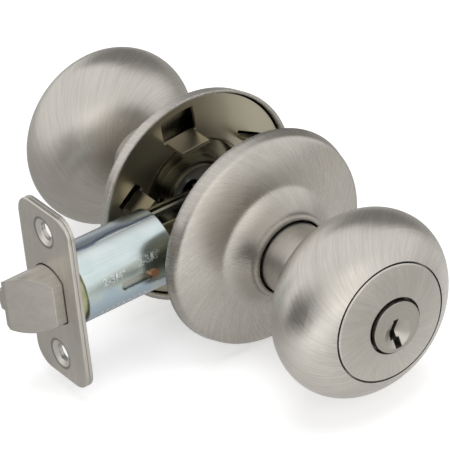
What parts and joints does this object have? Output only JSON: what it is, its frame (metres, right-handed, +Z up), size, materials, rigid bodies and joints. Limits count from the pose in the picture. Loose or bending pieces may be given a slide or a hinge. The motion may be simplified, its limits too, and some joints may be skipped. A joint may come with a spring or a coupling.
{
  "type": "keyed entry door knobset",
  "caption": "Keyed entry knobset: round knobs on dished round roses, key cylinder outside, turn button inside, tubular spring latch with bevelled bolt and deadlatch plunger.",
  "frame": {"origin": "where the knobs' common axis crosses the latch bolt's axis, in the middle of the latch's thickness", "axes": "+Y along the knobs' axis from the key side to the room side, -X along the latch to the door's edge, +Z up"},
  "size_m": [0.1063, 0.1622, 0.0666],
  "materials": {
    "satin_nickel": "satin brushed nickel plate",
    "plug_nickel": "satin nickel, finely turned",
    "bronze_plate": "dark dichromate over pressed steel",
    "zinc_plate": "bright zinc plate, faintly iridescent",
    "yellow_zinc": "yellow dichromate",
    "copper_rivet": "copper coated",
    "spring_steel": "bright spring wire",
    "die_cast_zinc": "die cast, plated",
    "pin_brass": "turned brass",
    "screw_zinc": "bright zinc plate"
  },
  "bodies": {
    "outside_set": {"rose_outside": "satin_nickel", "mounting_plate_outside": "bronze_plate", "bearing_outside": "bronze_plate", "return_spring_outside": "spring_steel", "mounting_posts": "zinc_plate", "latch_tube": "zinc_plate", "case_plate_outside": "bronze_plate", "case_plate_inside": "bronze_plate", "spring_seat": "zinc_plate", "case_web": "zinc_plate", "bolt_spring": "spring_steel"},
    "knob_outside": {"knob_outside_shell": "satin_nickel", "knob_outside_shank": "satin_nickel", "knob_outside_face": "satin_nickel", "cylinder_housing": "die_cast_zinc", "pin_cover": "pin_brass", "driver_pins": "pin_brass", "pin_springs": "spring_steel", "spindle_carrier": "die_cast_zinc", "spindle": "zinc_plate", "retaining_ring_outside": "spring_steel"},
    "key_cylinder_plug": {"key_plug": "plug_nickel", "plug_clip": "spring_steel", "plug_tail": "die_cast_zinc", "key_pins": "pin_brass"},
    "retractor_hub": {"retractor": "die_cast_zinc"},
    "latch_front": {"latch_faceplate": "satin_nickel", "latch_backplate": "zinc_plate", "latch_sleeve": "yellow_zinc", "backset_rivets": "copper_rivet"},
    "bolt": {"latch_bolt": "satin_nickel", "plunger_spring": "spring_steel"},
    "drawbar_fork": {"drawbar": "zinc_plate"},
    "plunger": {"deadlatch_plunger": "satin_nickel"},
    "inside_set": {"rose_inside": "satin_nickel", "mounting_plate_inside": "bronze_plate", "spring_cup_inside": "bronze_plate", "return_spring_inside": "spring_steel", "mounting_screws": "screw_zinc"},
    "knob_inside": {"knob_inside_shell": "satin_nickel", "knob_inside_shank": "satin_nickel", "knob_inside_face": "satin_nickel", "button_bush": "satin_nickel", "spindle_driver": "die_cast_zinc", "retaining_ring_inside": "spring_steel"},
    "privacy_button": {"turn_button": "satin_nickel", "locking_bar": "zinc_plate"}
  },
  "joints": [
    {"name": "door_thickness_adjust", "type": "slide", "parent": "outside_set", "child": "inside_set", "axis": [0, 1, 0], "range_m": [0, 0.0154]},
    {"name": "backset_adjust", "type": "slide", "parent": "outside_set", "child": "latch_front", "axis": [-1, 0, 0], "range_m": [0, 0.00953]},
    {"name": "knob_outside_turn", "type": "hinge", "parent": "outside_set", "child": "knob_outside", "pos_m": [0, 0, 0], "axis": [0, 1, 0], "range_deg": [0, 77], "stiffness_Nm_per_rad": 0.2, "springref_deg": -34.38, "deforming": ["return_spring_outside"]},
    {"name": "knob_inside_turn", "type": "hinge", "parent": "inside_set", "child": "knob_inside", "pos_m": [0, 0, 0], "axis": [0, 1, 0], "range_deg": [0, 77.5], "deforming": ["return_spring_inside"]},
    {"name": "retractor_turn", "type": "hinge", "parent": "outside_set", "child": "retractor_hub", "pos_m": [0, 0, 0], "axis": [0, 1, 0], "range_deg": [0, 77.5]},
    {"name": "drawbar_slide", "type": "slide", "parent": "outside_set", "child": "drawbar_fork", "axis": [1, 0, 0], "range_m": [0, 0.0128], "deforming": ["bolt_spring"]},
    {"name": "bolt_slide", "type": "slide", "parent": "latch_front", "child": "bolt", "axis": [1, 0, 0], "range_m": [0, 0.0128]},
    {"name": "plunger_slide", "type": "slide", "parent": "bolt", "child": "plunger", "axis": [1, 0, 0], "range_m": [0, 0.0085], "stiffness_N_per_m": 150, "springref_m": -0.006, "deforming": ["plunger_spring"]},
    {"name": "key_plug_turn", "type": "hinge", "parent": "knob_outside", "child": "key_cylinder_plug", "pos_m": [0, -0.06, 0], "axis": [0, 1, 0], "range_deg": [0, 90]},
    {"name": "turn_button_turn", "type": "hinge", "parent": "knob_inside", "child": "privacy_button", "pos_m": [0, 0.06, 0], "axis": [0, 1, 0], "range_deg": [0, 90]}
  ],
  "couplings": [
    {"joint": "knob_inside_turn", "follows": "knob_outside_turn", "ratio": 1},
    {"joint": "retractor_turn", "follows": "knob_outside_turn", "ratio": 1},
    {"joint": "drawbar_slide", "follows": "knob_outside_turn", "m_per_rad": 0.00945},
    {"joint": "bolt_slide", "follows": "knob_outside_turn", "m_per_rad": 0.00945}
  ]
}
